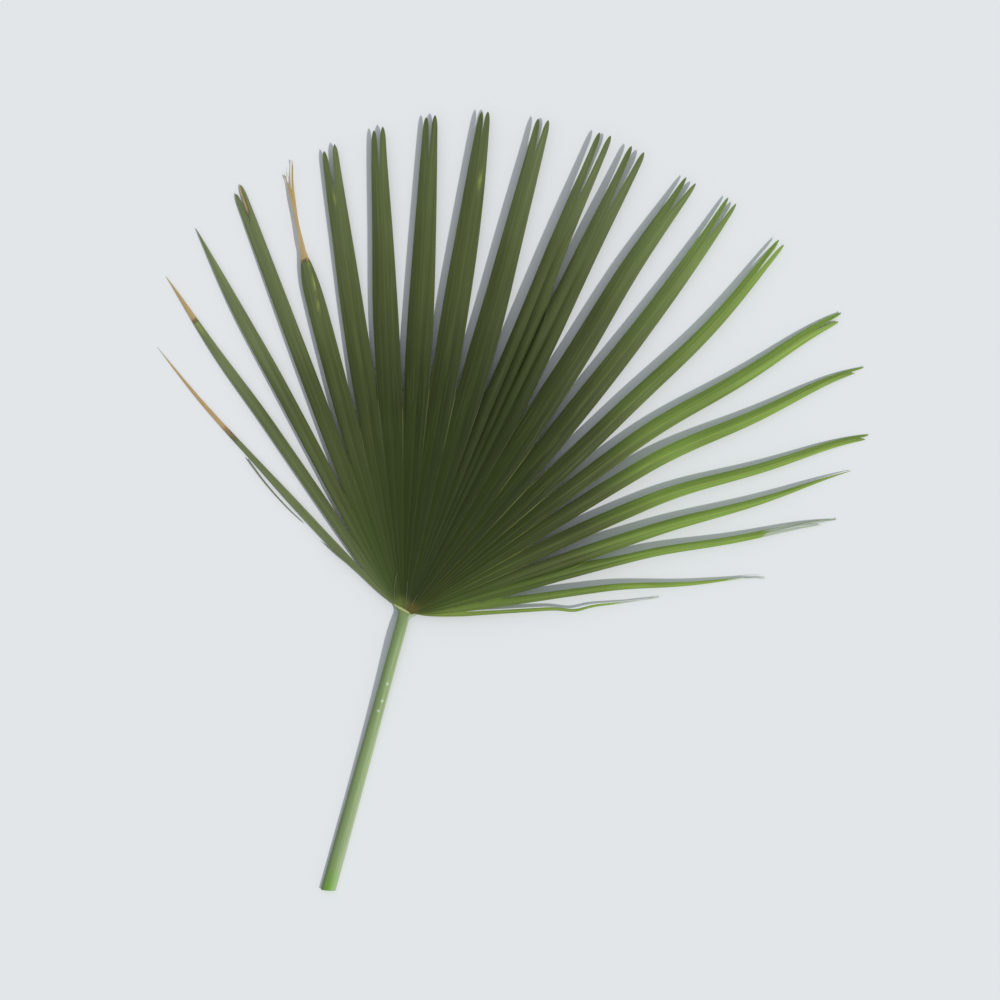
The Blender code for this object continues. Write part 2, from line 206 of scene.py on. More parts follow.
class PalmBladeSettings(bpy.types.PropertyGroup):
    """Sizes and colours of the pleated blade."""

    thickness: bpy.props.FloatProperty(
        name="Thickness",
        description="Thickness of the blade",
        default=0.0005,
        min=0.0002,
        max=0.0009,
        unit="LENGTH",
    )
    rib_height: bpy.props.FloatProperty(
        name="Rib height",
        description="How far a rib stands up from its fold",
        default=0.00020,
        min=0.0,
        max=0.001,
        unit="LENGTH",
    )
    rib_width: bpy.props.FloatProperty(
        name="Rib half width",
        description="Half the width of a rib at its foot",
        default=0.0009,
        min=0.0002,
        max=0.002,
        unit="LENGTH",
    )
    crowning: bpy.props.FloatProperty(
        name="Crowning",
        description="How much each half of a segment bulges, as a share of its width",
        default=0.07,
        min=0.0,
        max=0.2,
    )
    # The deep green of the joined centre is partly the blade's own colour and partly painted shade, since no
    # light comes up through it from the floor.
    deep_green_and_painted_shade: colour_setting(
        "Deep green",
        "Colour of the blade near the crown, where it is thickest and not yet split",
        (0.034, 0.050, 0.009),
    )
    inner_green: colour_setting(
        "Inner green",
        "Colour of the blade beside its deep green centre",
        (0.086, 0.122, 0.028),
    )
    green: colour_setting("Green", "Colour of the free segments", (0.106, 0.132, 0.042))
    pale_green: colour_setting(
        "Pale green",
        "Greyer light green of the oldest segments, at the left of the fan",
        (0.225, 0.265, 0.125),
    )
    fresh_green: colour_setting(
        "Fresh green",
        "Yellow green of the youngest segments, at the right of the fan",
        (0.280, 0.390, 0.088),
    )
    rib_green: colour_setting("Rib colour", "Paler green of the ribs", (0.22, 0.27, 0.085))
    rib_yellow: colour_setting(
        "Fresh rib colour",
        "Yellow of the youngest ribs, the blotches and the glow beside the crest",
        (0.46, 0.50, 0.12),
    )
    singed: colour_setting("Singed colour", "Brown line where a dried tip begins", (0.16, 0.075, 0.028))
    rust: colour_setting("Rust", "Orange brown beside the crest and on the dried tips", (0.34, 0.19, 0.06))
    dry: colour_setting("Dry colour", "Orange tan of the dried tips", (0.58, 0.43, 0.235))
    bleached: colour_setting("Bleached colour", "Pale grey of the bleached tips", (0.60, 0.63, 0.56))


class PalmStalkSettings(bpy.types.PropertyGroup):
    """Sizes and colours of the stalk, its crest and the loose fibres."""

    length: bpy.props.FloatProperty(
        name="Length",
        description="From the slanted cut to the crown",
        default=0.2230,
        unit="LENGTH",
    )
    cut_width: bpy.props.FloatProperty(
        name="Width at the cut",
        description="Width of the stalk at its cut end",
        default=0.0116,
        unit="LENGTH",
    )
    neck_width: bpy.props.FloatProperty(
        name="Width at the neck",
        description="Width of the stalk under the blade",
        default=0.0094,
        unit="LENGTH",
    )
    green: colour_setting("Stalk green", "Main colour of the stalk", (0.218, 0.298, 0.112))
    # Painted shade: the left side of the stalk, away from the key light, is greyed and darkened with this
    # colour.
    painted_shade_green: colour_setting(
        "Dull side",
        "Greyer green of the left side of the stalk",
        (0.13, 0.17, 0.085),
    )
    cut_green: colour_setting("Green at the cut", "Fresher green near the cut end", (0.16, 0.33, 0.045))
    # This pale colour serves the real worn nicks and also a painted highlight along the stalk's right side.
    worn: colour_setting("Worn colour", "Pale nicks and rubbed edge", (0.56, 0.62, 0.44))
    yellow: colour_setting("Crest yellow", "Papery yellow of the crest", (0.42, 0.45, 0.18))
    fibre: colour_setting("Fibre colour", "Grey green of the loose fibres", (0.16, 0.19, 0.105))


class PalmStageSettings(bpy.types.PropertyGroup):
    """Floor, light and camera."""

    floor: colour_setting("Floor colour", "Pale colour of the floor", (0.80, 0.80, 0.80))
    fill: colour_setting(
        "Fill light",
        "Colour and strength of the even light from all sides",
        (0.475, 0.515, 0.550),
    )
    key_strength: bpy.props.FloatProperty(
        name="Key light",
        description="Strength of the light that casts the shadows",
        default=1.95,
        min=0.0,
    )
    key_elevation: bpy.props.FloatProperty(
        name="Key elevation",
        description="Height of the key light over the floor",
        subtype="ANGLE",
        default=math.radians(50.0),
    )
    key_azimuth: bpy.props.FloatProperty(
        name="Key azimuth",
        description="Where the key light stands, counter-clockwise from +X",
        subtype="ANGLE",
        default=math.radians(-14.5),
    )
    key_size: bpy.props.FloatProperty(
        name="Key size",
        description="Angle that the key light fills, which softens its shadows",
        subtype="ANGLE",
        default=math.radians(3.0),
    )
    turn: bpy.props.FloatProperty(
        name="Camera turn",
        description="How far the camera is turned about its line of sight",
        subtype="ANGLE",
        default=math.radians(15.5),
    )
    distance: bpy.props.FloatProperty(
        name="Camera distance",
        description="Height of the camera over the floor",
        default=1.6,
        unit="LENGTH",
    )
    frame_width: bpy.props.FloatProperty(
        name="Frame width",
        description="Width of the floor that the picture shows",
        default=0.8,
        unit="LENGTH",
    )


# Helpers for the modelling


def start_fresh():
    """Leave edit mode and deselect everything, so that an operator acts on the new piece alone."""
    if bpy.context.object and bpy.context.object.mode != "OBJECT":
        bpy.ops.object.mode_set(mode="OBJECT")
    bpy.ops.object.select_all(action="DESELECT")


def take(obj):
    """Make one object the only selected and the active one."""
    start_fresh()
    obj.hide_set(False)
    obj.select_set(True)
    bpy.context.view_layer.objects.active = obj


def settle(obj, name):
    """Place a finished piece at the origin, name it and let it ride on the leaf."""
    take(obj)
    bpy.ops.object.transform_apply(location=True, rotation=True, scale=True)
    obj.name = name
    obj.data.name = name
    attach(obj, "root")
    return obj


def draw_tube(rings):
    """Draw a tube out ring by ring. Every ring has the same number of corners."""
    start_fresh()
    sides = len(rings[0])
    bpy.ops.mesh.primitive_circle_add(vertices=sides, radius=0.01, fill_type="NOTHING")
    tube = bpy.context.object
    layer_name = "side"
    bpy.ops.object.mode_set(mode="EDIT")
    shape = bmesh.from_edit_mesh(tube.data)
    layer = shape.verts.layers.int.new(layer_name)
    shape.verts.ensure_lookup_table()
    for corner in shape.verts:
        corner[layer] = corner.index
        corner.co = rings[0][corner.index]
    bmesh.update_edit_mesh(tube.data)
    bpy.ops.mesh.select_all(action="SELECT")
    bpy.ops.mesh.edge_face_add()
    for ring in rings[1:]:
        bpy.ops.mesh.extrude_region_move()
        shape = bmesh.from_edit_mesh(tube.data)
        layer = shape.verts.layers.int[layer_name]
        for corner in shape.verts:
            if corner.select:
                corner.co = ring[corner[layer]]
        bmesh.update_edit_mesh(tube.data)
    bpy.ops.mesh.select_all(action="SELECT")
    bpy.ops.mesh.normals_make_consistent(inside=False)
    bpy.ops.object.mode_set(mode="OBJECT")
    tube.data.attributes.remove(tube.data.attributes[layer_name])
    return tube


def thread_rings(path, radii, sides=6):
    """Round rings along a path, one for each of its points."""
    rings = []
    points = [Vector(point) for point in path]
    for index, point in enumerate(points):
        ahead = points[min(index + 1, len(points) - 1)]
        behind = points[max(index - 1, 0)]
        along = (ahead - behind).normalized()
        across = along.cross(Vector((0, 0, 1))).normalized()
        up = across.cross(along)
        ring = []
        for side in range(sides):
            angle = 2.0 * math.pi * side / sides
            ring.append(point + (across * math.cos(angle) + up * math.sin(angle)) * radii[index])
        rings.append(ring)
    return rings


# Lines of the blade, by the same rules as the solid


def narrowed(direction, radius):
    """The whole fan draws together near the crown, where it sits on the head of the stalk."""
    radius = max(radius, NARROWEST)
    return FAN_MIDDLE + (direction - FAN_MIDDLE) * (1.0 - CROWN_NARROWING * (BLADE_START / radius) ** 2)


def rib_direction(number, radius):
    """Direction of a segment's rib, in degrees, at a distance from the crown."""
    segment = SEGMENTS[number]
    share = radius / segment.reach
    outer = min(max((share - BOW_START) / (1.0 - BOW_START), 0.0), 1.0)
    bowed = segment.bow * math.sin(math.pi * outer) ** 2
    if number == KINKED:
        bowed -= KINK * math.exp(-((radius - KINK_RADIUS) / KINK_LENGTH) ** 2)
    return narrowed(segment.root + segment.drift * share + segment.curl * share ** 4 + bowed, radius)


def rib_height(number, radius):
    """Height of a segment's rib: one low arch from the crown to the tip."""
    segment = SEGMENTS[number]
    share = min(radius / segment.reach, 1.0)
    tip = max(segment.tip, FLOOR_CLEARANCE)
    control = 2.0 * segment.middle - (CROWN_HEIGHT + tip) / 2
    return (1 - share) ** 2 * CROWN_HEIGHT + 2 * share * (1 - share) * control + share ** 2 * tip


def fold_drop(number, across, radius):
    """How far a half of a segment has come down from its rib, at a distance across."""
    segment = SEGMENTS[number]
    free = ease((radius - PRESSED_END * segment.joined) / (DEEPENING * segment.reach))
    return across * math.tan(math.radians(segment.fold)) * mix(PRESSED_SHARE, 1.0, free)


def joined_length(line):
    """Distance from the crown to the gap between segments line - 1 and line."""
    if line == 0:
        return SEGMENTS[0].joined
    return SEGMENTS[line - 1].joined


def valley_direction(line, radius):
    """A valley runs midway between its two ribs. The outermost ones are the edges of the blade."""
    if line == 0:
        return narrowed(LEFT_EDGE, radius)
    if line == len(SEGMENTS):
        return narrowed(RIGHT_EDGE, radius)
    return (rib_direction(line - 1, radius) + rib_direction(line, radius)) / 2


def valley_height(line, radius):
    heights = []
    for number in (line - 1, line):
        if 0 <= number < len(SEGMENTS):
            turn = abs(rib_direction(number, radius) - valley_direction(line, radius))
            across = radius * math.radians(turn)
            heights.append(rib_height(number, radius) - fold_drop(number, across, radius))
    return sum(heights) / len(heights)


def side_reach(number, side):
    """Crown to the point of one half of a segment. side is 1 for the left half and -1 for the right."""
    segment = SEGMENTS[number]
    return segment.reach - side * segment.stagger / 2


def fork_radius(number):
    """Where the forked tip starts. Unforked tips get their last stations over the same kind of length."""
    segment = SEGMENTS[number]
    if segment.fork:
        return segment.reach - segment.fork
    return mix(segment.reach, segment.joined, 0.2)


def rounded_length(number):
    """How much of a prong's end is rounded off."""
    return min(ROUNDED_END, ROUNDED_SHARE * max(SEGMENTS[number].fork, 0.010))


def prong_half_width(number, side, radius):
    """Half the width of one prong of a forked tip, rounded off towards its point."""
    full = min(PRONG_HALF_WIDTH, PRONG_SHARE * SEGMENTS[number].spread)
    if number >= SLENDER_FROM:
        full *= SLENDER_SHARE
    if number == WITHERED:
        return 0.0
    to_point = (side_reach(number, side) - radius) / rounded_length(number)
    return full * math.sqrt(1.0 - (1.0 - min(max(to_point, 0.0), 1.0)) ** 2)


def soft_minimum(a, b, softness):
    return min(a, b) - softness * math.log(1.0 + math.exp(-abs(a - b) / softness))


def opening_gap(share):
    """A gap opens at once and then settles to the free width: 0 to 1."""
    return 1.0 - (1.0 - min(share, 1.0)) ** 2


def free_half_width(number, side, radius):
    """Half the width of a free segment: hardly wider than at its gap, then narrowing to its point."""
    segment = SEGMENTS[number]
    line = number if side > 0 else number + 1
    start = joined_length(line)
    tapering = min(joined_length(number), joined_length(number + 1))
    share = min((radius - tapering) / (side_reach(number, side) - tapering), 1.0)
    turn = abs(rib_direction(number, start) - valley_direction(line, start))
    joined_half = start * math.radians(turn)
    blunt = segment.spread / 2 + prong_half_width(number, side, radius)
    half = mix(blunt, segment.width / 2, 1 - share ** segment.fullness)
    if number == WITHERED:
        half = withered_half_width(radius)
    if 0 < line < len(SEGMENTS):
        widening = WIDENING * (1.0 - math.exp((start - radius) / WIDENING_LENGTH))
        half = soft_minimum(half, joined_half + widening, MEETING_SOFTNESS)
    settled = (radius - start) / (SETTLING * (side_reach(number, side) - start))
    return mix(joined_half, half, opening_gap(settled))


def withered_phase(radius):
    """How far the dry ribbon has twisted, as an angle: none before the ribbon begins."""
    return 2.0 * math.pi * max(radius - WITHERED_FROM, 0.0) / WITHERED_PITCH


def withered_half_width(radius):
    """The dry ribbon looks narrow where its twist stands on edge."""
    segment = SEGMENTS[WITHERED]
    ribbon = WITHERED_HALF_WIDTH + WITHERED_WAVE * math.cos(withered_phase(radius))
    if radius < WITHERED_FROM:
        return mix(segment.width / 2, ribbon, (radius / WITHERED_FROM) ** WITHERED_BLUNTNESS)
    past_fork = max(radius - fork_radius(WITHERED), 0.0) / segment.fork
    return mix(ribbon, segment.spread / 2, min(past_fork, 1.0))


# Strips of the blade

# Numbers written on every point of the blade: its distance from the rib, the crown and the margin, how dry
# and bleached it is, how open the fan is there, how light and fresh a green (with painted shade at the joined
# centre and painted light on the halves the key light reaches least), how strong a blotch, how near
# the end of its gap, and a number of its own for each segment.
STRIP_MARKS = (
    "across",
    "along",
    "margin",
    "dry",
    "bleached",
    "open",
    "ripe_and_painted_shading",
    "fresh",
    "blotch",
    "split",
    "shade",
)

# Columns across each half of a segment, and rows along it.
ACROSS = 7
RIB_COLUMNS = 2
RIB_SHARE = 0.35
JOINED_ROWS = 24
FREE_ROWS = 40
FORK_ROWS = 8
ROUND_ROWS = 6
ALONG = JOINED_ROWS + FREE_ROWS + FORK_ROWS + ROUND_ROWS


def polar(direction, radius, height):
    angle = math.radians(direction)
    return Vector((CROWN[0] + radius * math.cos(angle), CROWN[1] + radius * math.sin(angle), height))


def blade_start(line):
    """Where the blade begins: line counts the valleys from the left, and a rib lies half way between two."""
    run = (CREST_RIGHT[0] - CREST_LEFT[0], CREST_RIGHT[1] - CREST_LEFT[1])
    radius = BLADE_START
    for _ in range(6):
        if line == int(line):
            direction = math.radians(valley_direction(int(line), radius))
        else:
            direction = math.radians(rib_direction(int(line), radius))
        facing = math.cos(direction) * run[1] - math.sin(direction) * run[0]
        radius = (CREST_LEFT[0] * run[1] - CREST_LEFT[1] * run[0]) / facing
    return radius


def row_radius(row, number, side, start, at_valley):
    """Distance from the crown of one row of a strip: joined, free, fork, then the rounded end."""
    fork = fork_radius(number)
    end = side_reach(number, side)
    rounded = end - rounded_length(number)
    if row <= JOINED_ROWS:
        line = number if side > 0 else number + 1
        return mix(blade_start(line if at_valley else number + 0.5), start, row / JOINED_ROWS)
    if row <= JOINED_ROWS + FREE_ROWS:
        return mix(start, fork, (row - JOINED_ROWS) / FREE_ROWS)
    if row <= JOINED_ROWS + FREE_ROWS + FORK_ROWS:
        return mix(fork, rounded, (row - JOINED_ROWS - FREE_ROWS) / FORK_ROWS)
    return mix(end, rounded, ((ALONG - row) / ROUND_ROWS) ** 2)


def tip_point(number, side):
    segment = SEGMENTS[number]
    middle = rib_direction(number, segment.reach)
    direction = middle + side * math.degrees(segment.spread / 2 / segment.reach)
    return polar(direction, side_reach(number, side), rib_height(number, segment.reach))


def edge_point(number, side, row):
    """A point of the outer edge of one half: a shared valley to its gap, then a free margin."""
    line = number if side > 0 else number + 1
    start = joined_length(line)
    radius = row_radius(row, number, side, start, True)
    if row == ALONG:
        return tip_point(number, side)
    if row <= JOINED_ROWS:
        return polar(valley_direction(line, radius), radius, valley_height(line, radius))
    half = free_half_width(number, side, radius)
    if number == SHRIVELLED:
        half *= 1.0 - SHRIVELLED_SHARE * ease((radius - SHRIVELLED_FROM) / SHRIVELLED_LENGTH)
    direction = rib_direction(number, radius) + side * math.degrees(half / radius)
    height = rib_height(number, radius) - fold_drop(number, half, radius)
    if number == WITHERED:
        height += side * WITHERED_TWIST * math.sin(withered_phase(radius) / 2)
    height = max(height, FLOOR_CLEARANCE)
    return polar(direction, radius, height)


def rib_point(number, side, row):
    """A point of the rib, or past the fork of the inner edge of one prong."""
    segment = SEGMENTS[number]
    start = (joined_length(number) + joined_length(number + 1)) / 2
    radius = row_radius(row, number, side, start, False)
    direction = rib_direction(number, radius)
    height = rib_height(number, radius)
    if row == ALONG:
        return tip_point(number, side)
    if row > JOINED_ROWS + FREE_ROWS and segment.fork:
        opened = (radius - fork_radius(number)) / (side_reach(number, side) - fork_radius(number))
        opening = opened * (segment.spread / 2 - prong_half_width(number, side, radius))
        direction += side * math.degrees(opening / radius)
        height = max(height - fold_drop(number, opening, radius), FLOOR_CLEARANCE)
    return polar(direction, radius, height)


def column_offset(column, half, rib_width):
    """Distance from the rib of one column of a strip: three columns make the rib, the rest the half."""
    foot = min(rib_width, half * RIB_SHARE)
    if column <= RIB_COLUMNS:
        return foot * column / RIB_COLUMNS
    return mix(foot, half, (column - RIB_COLUMNS) / (ACROSS - RIB_COLUMNS))


# The fan is darkest between these two directions. To their left it is older, to their right younger.
OLDER_FROM = 100.0
OLDER_SPAN = 48.0
OLDER_GAIN = 0.86
YOUNGER_FROM = 62.0
YOUNGER_SPAN = 40.0
YOUNGER_GAIN = 0.80
FRESH_FROM = 76.0
FRESH_SPAN = 30.0

# Each segment lightens outwards: from where, over what length and by how much, first for the older green and
# then for the fresh one. The outermost rim lightens again, more in the middle and on the right of the fan.
LIGHTER_FROM = (0.160, 0.125)
LIGHTER_LENGTH = (0.150, 0.145)
LIGHTER_GAIN = (0.45, 0.75)
RIM_FROM = 0.27
RIM_LENGTH = 0.13
RIM_SPAN = 15.0
RIM_GAIN = (0.14, 0.31)
# Near the crown the right of the fan is held darker: painted shade on the joined centre.
CROWN_SHADE = 0.5
CROWN_SHADE_LENGTH = 0.045


def ripeness_and_painted_shading(number, side, radius):
    """How light the green is: 0 at the deep green centre, 0.5 on most free segments, 1 on the fresh ones.
    Near the joined centre the low values are partly painted shade, and the left halves get painted light.
    """
    direction = SEGMENTS[number].root
    to_left = (max(direction - OLDER_FROM, 0.0) / OLDER_SPAN) ** 1.4 * OLDER_GAIN
    to_right = (max(YOUNGER_FROM - direction, 0.0) / YOUNGER_SPAN) ** 1.3 * YOUNGER_GAIN
    to_right *= mix(CROWN_SHADE, 1.0, ease(radius / CROWN_SHADE_LENGTH))
    fresh = ease((FRESH_FROM - direction) / FRESH_SPAN)
    opened = ease((radius - mix(*LIGHTER_FROM, fresh)) / mix(*LIGHTER_LENGTH, fresh))
    outwards = mix(*LIGHTER_GAIN, fresh) * opened
    # Painted light: the left half of each fold, which the key light reaches least, is lightened against its
    # shade.
    painted_light_on_shaded_half = 0.08 + (0.16 * fresh - 0.06) * opened if side > 0 else 0.0
    rim = mix(*RIM_GAIN, ease((OLDER_FROM - direction) / RIM_SPAN)) * ease((radius - RIM_FROM) / RIM_LENGTH)
    return min(to_left + to_right + outwards + painted_light_on_shaded_half + rim, 1.0)


def blotch_at(number, across, radius):
    """Strength of the yellow blotches at one point of a segment."""
    strength = 0.0
    for where, offset, distance, length in BLOTCHES:
        if where == number:
            aside = (across - offset) / BLOTCH_HALF_WIDTH
            ahead = (radius - distance) / length
            strength = max(strength, math.exp(-aside * aside - ahead * ahead))
    return strength


def dryness(number, side, radius, in_fork, share):
    """How dry one point of a segment is. share runs from its rib to its margin."""
    if number == SCORCHED_FORK:
        strongest = SCORCHED_LEFT if side > 0 else SCORCHED_RIGHT
        return strongest * ease(in_fork * 1.5) * max(1.0 - 1.3 * share, 0.0)
    if number in DRIED:
        begins, length = DRIED[number]
        return ease((radius - begins) / length + 0.5)
    return 0.0


def bleaching(number, side, radius):
    """How far one point of a segment has bleached."""
    if number not in BLEACHED:
        return 0.0
    begins, length, left, right = BLEACHED[number]
    strongest = left if side > 0 else right
    return strongest * ease((radius - begins) / length + 0.5)


# Ribs, bulges and colours set in where the fan opens: from a share of the joined length, over a length.
# Before that ribs and bulges keep only a share of their height.
OPEN_FROM = 0.6
OPEN_LENGTH = 0.08
PRESSED_BULGE = 0.35
PRESSED_RIDGE = 0.3
RIB_PROFILE = (1.0, 0.75, 0.0)
FULL_RIB_HALF = 0.004

# The margins are paler on both sides of the end of a gap, and the ribs yellow to the right of a direction.
SPLIT_BEFORE_GAP = 0.006
SPLIT_LENGTH = 0.045
YELLOW_FROM = 86.0
YELLOW_SPAN = 34.0
SHADE_STEP = 0.37


def shape_strip(strip, number, side, settings):
    """Lay a flat strip into the place of one half of a segment, and write its own coordinates and marks."""
    mesh = strip.data
    edge = [edge_point(number, side, row) for row in range(ALONG + 1)]
    rib = [rib_point(number, side, row) for row in range(ALONG + 1)]
    values = {name: [0.0] * len(mesh.vertices) for name in STRIP_MARKS}
    for vertex in mesh.vertices:
        column = round((vertex.co.x + 0.5) * ACROSS)
        row = round((vertex.co.y + 0.5) * ALONG)
        if side > 0:
            column = ACROSS - column
        half = (edge[row] - rib[row]).length
        offset = column_offset(column, half, settings.rib_width)
        share = offset / half if half > 1e-6 else 0.0
        point = rib[row].lerp(edge[row], share)
        radius = math.hypot(point.x - CROWN[0], point.y - CROWN[1])
        in_fork = min(max(row - JOINED_ROWS - FREE_ROWS, 0) / FORK_ROWS, 1.0)
        opened = ease((radius - OPEN_FROM * joined_length(number)) / OPEN_LENGTH)
        to_gap = radius - joined_length(number if side > 0 else number + 1)
        bulge = settings.crowning * 4.0 * share * (1.0 - share) * half * (1.0 - in_fork)
        bulge *= mix(PRESSED_BULGE, 1.0, opened)
        ridge = settings.rib_height * RIB_PROFILE[min(column, RIB_COLUMNS)]
        ridge *= min(half / FULL_RIB_HALF, 1.0) * (1.0 - in_fork) * mix(PRESSED_RIDGE, 1.0, opened)
        vertex.co = point + Vector((0.0, 0.0, bulge + ridge))
        marks = (
            side * offset,
            radius,
            half - offset,
            dryness(number, side, radius, in_fork, share),
            bleaching(number, side, radius),
            opened,
            ripeness_and_painted_shading(number, side, radius),
            ease((YELLOW_FROM - SEGMENTS[number].root) / YELLOW_SPAN),
            blotch_at(number, side * offset, radius),
            ease(1.0 - abs(to_gap + SPLIT_BEFORE_GAP) / SPLIT_LENGTH),
            number * SHADE_STEP % 1.0,
        )
        for name, mark in zip(STRIP_MARKS, marks):
            values[name][vertex.index] = mark
    for name, numbers in values.items():
        layer = mesh.attributes.new(name, "FLOAT", "POINT")
        layer.data.foreach_set("value", numbers)


# Nodes


def node(tree, kind, inputs=None, **settings):
    """Add one node, set its own settings, and set or link its inputs."""
    made = tree.nodes.new(kind)
    for name, value in settings.items():
        setattr(made, name, value)
    for key, value in (inputs or {}).items():
        if isinstance(value, bpy.types.NodeSocket):
            tree.links.new(value, made.inputs[key])
        else:
            made.inputs[key].default_value = value
    return made


def math_node(tree, operation, *values):
    return node(tree, "ShaderNodeMath", dict(enumerate(values)), operation=operation).outputs[0]


def times(tree, a, b):
    return math_node(tree, "MULTIPLY", a, b)


def scaled(tree, value, factor, base):
    return math_node(tree, "MULTIPLY_ADD", value, factor, base)


def inverse(tree, value):
    return math_node(tree, "SUBTRACT", 1.0, value)


def ramp(tree, value, low, high, passage="SMOOTHSTEP"):
    """0 below low and 1 above high."""
    ends = {"Value": value, "From Min": low, "From Max": high}
    return node(tree, "ShaderNodeMapRange", ends, interpolation_type=passage).outputs[0]


def mix_values(tree, share, a, b):
    return node(tree, "ShaderNodeMix", {0: share, 2: a, 3: b}).outputs[0]


def opaque(colour):
    """A plain colour with its fourth number. A linked one stays as it is."""
    return colour if isinstance(colour, bpy.types.NodeSocket) else (*colour[:3], 1.0)


def blend_colour(tree, share, a, b, mode="MIX"):
    inputs = {0: share, 6: opaque(a), 7: opaque(b)}
    return node(tree, "ShaderNodeMix", inputs, data_type="RGBA", blend_type=mode).outputs[2]


def darken(tree, colour, value):
    """Multiply a colour by one value."""
    grey = node(tree, "ShaderNodeCombineXYZ", {0: value, 1: value, 2: value}).outputs[0]
    return blend_colour(tree, 1.0, colour, grey, mode="MULTIPLY")


def tint(colour, factor):
    return [part * factor for part in colour]


def vector_math(tree, operation, a, b, output="Vector"):
    return node(tree, "ShaderNodeVectorMath", {0: a, 1: b}, operation=operation).outputs[output]


def attribute(tree, name):
    return node(tree, "ShaderNodeAttribute", attribute_name=name).outputs["Fac"]


def new_group(name, inputs, outputs):
    group = bpy.data.node_groups.new(name, "ShaderNodeTree")
    for label, kind, default in inputs:
        socket = group.interface.new_socket(label, in_out="INPUT", socket_type=kind)
        if default is not None:
            socket.default_value = default
    for label, kind in outputs:
        group.interface.new_socket(label, in_out="OUTPUT", socket_type=kind)
    return group, group.nodes.new("NodeGroupInput"), group.nodes.new("NodeGroupOutput")


def streak_group():
    """Fine lines that run along a piece: a value for colour and a finer one for relief."""
    name = "Leaf streaks"
    if name in bpy.data.node_groups:
        return bpy.data.node_groups[name]
    group, given, result = new_group(
        name,
        [
            ("Vector", "NodeSocketVector", None),
            ("Spacing", "NodeSocketFloat", 0.0008),
            ("Length", "NodeSocketFloat", 0.05),
        ],
        [("Colour", "NodeSocketFloat"), ("Relief", "NodeSocketFloat")],
    )
    parts = node(group, "ShaderNodeSeparateXYZ", {0: given.outputs["Vector"]})
    across = math_node(group, "DIVIDE", parts.outputs[0], given.outputs["Spacing"])
    along = math_node(group, "DIVIDE", parts.outputs[1], given.outputs["Length"])
    place = node(group, "ShaderNodeCombineXYZ", {0: across, 1: along, 2: parts.outputs[2]})
    coarse = node(
        group,
        "ShaderNodeTexNoise",
        {"Vector": place.outputs[0], "Scale": 1.0, "Detail": 3.0, "Roughness": 0.6},
    )
    fine = node(
        group,
        "ShaderNodeTexNoise",
        {"Vector": place.outputs[0], "Scale": 2.7, "Detail": 2.0, "Roughness": 0.5},
    )
    group.links.new(coarse.outputs["Fac"], result.inputs["Colour"])
    group.links.new(fine.outputs["Fac"], result.inputs["Relief"])
    return group


def patch_group():
    """Uneven patches: a mask that grows out of an amount, with a ragged edge."""
    name = "Leaf patches"
    if name in bpy.data.node_groups:
        return bpy.data.node_groups[name]
    group, given, result = new_group(
        name,
        [
            ("Vector", "NodeSocketVector", None),
            ("Amount", "NodeSocketFloat", 0.5),
            ("Scale", "NodeSocketFloat", 200.0),
        ],
        [("Mask", "NodeSocketFloat")],
    )
    spots = node(
        group,
        "ShaderNodeTexNoise",
        {"Vector": given.outputs["Vector"], "Scale": given.outputs["Scale"], "Detail": 3.0},
    )
    uneven = scaled(group, spots.outputs["Fac"], 0.8, -0.4)
    raised = math_node(group, "ADD", given.outputs["Amount"], uneven)
    group.links.new(ramp(group, raised, 0.38, 0.62), result.inputs["Mask"])
    return group


def place_streaks(tree, vector, spacing, length):
    inputs = {"Vector": vector, "Spacing": spacing, "Length": length}
    return node(tree, "ShaderNodeGroup", inputs, node_tree=streak_group())


def place_patches(tree, vector, amount, scale):
    inputs = {"Vector": vector, "Amount": amount, "Scale": scale}
    return node(tree, "ShaderNodeGroup", inputs, node_tree=patch_group()).outputs[0]


def new_material(name):
    material = bpy.data.materials.new(name)
    material.use_nodes = True
    tree = material.node_tree
    tree.nodes.clear()
    return material, tree


def near_point(tree, position, point, size):
    """1 at a point and 0 beyond a distance from it."""
    away = vector_math(tree, "DISTANCE", position, point, "Value")
    return inverse(tree, ramp(tree, away, size * 0.15, size))


RELIEF_HEIGHT = 0.00012
THREAD_RELIEF_HEIGHT = 0.0001

# Beside the crest the blade glows yellow at the left and flushes orange brown at the right: distance to the
# right of the crown, size and strength.
ABOVE_CROWN = 0.0120
GLOW = (-0.0040, 0.0110, 0.22)
FLUSH = (0.0048, 0.0085, 0.24)


def shaded_green(tree, settings, marks, position, streaks, veins):
    """Green from the deep centre of the fan, partly painted shade, to its light segments, with clouds and
    lines in it.
    """
    green = blend_colour(tree, marks["open"], settings.inner_green, settings.green)
    # Towards the joined centre the green darkens to deep green: partly its own colour, partly painted shade.
    past_centre = ramp(tree, marks["ripe_and_painted_shading"], 0.0, 0.5, "LINEAR")
    green = blend_colour(tree, past_centre, settings.deep_green_and_painted_shade, green)
    light = blend_colour(tree, marks["fresh"], settings.pale_green, settings.fresh_green)
    green = blend_colour(tree, ramp(tree, marks["ripe_and_painted_shading"], 0.5, 1.0, "LINEAR"), green, light)
    clouds = node(tree, "ShaderNodeTexNoise", {"Vector": position, "Scale": 16.0, "Detail": 2.0})
    value = scaled(tree, clouds.outputs["Fac"], 0.4, 0.8)
    value = times(tree, value, scaled(tree, streaks.outputs["Colour"], 0.7, 0.65))
    value = times(tree, value, scaled(tree, veins.outputs["Colour"], 0.8, 0.6))
    value = mix_values(tree, scaled(tree, marks["open"], 0.6, 0.4), 1.0, value)
    return darken(tree, green, value)


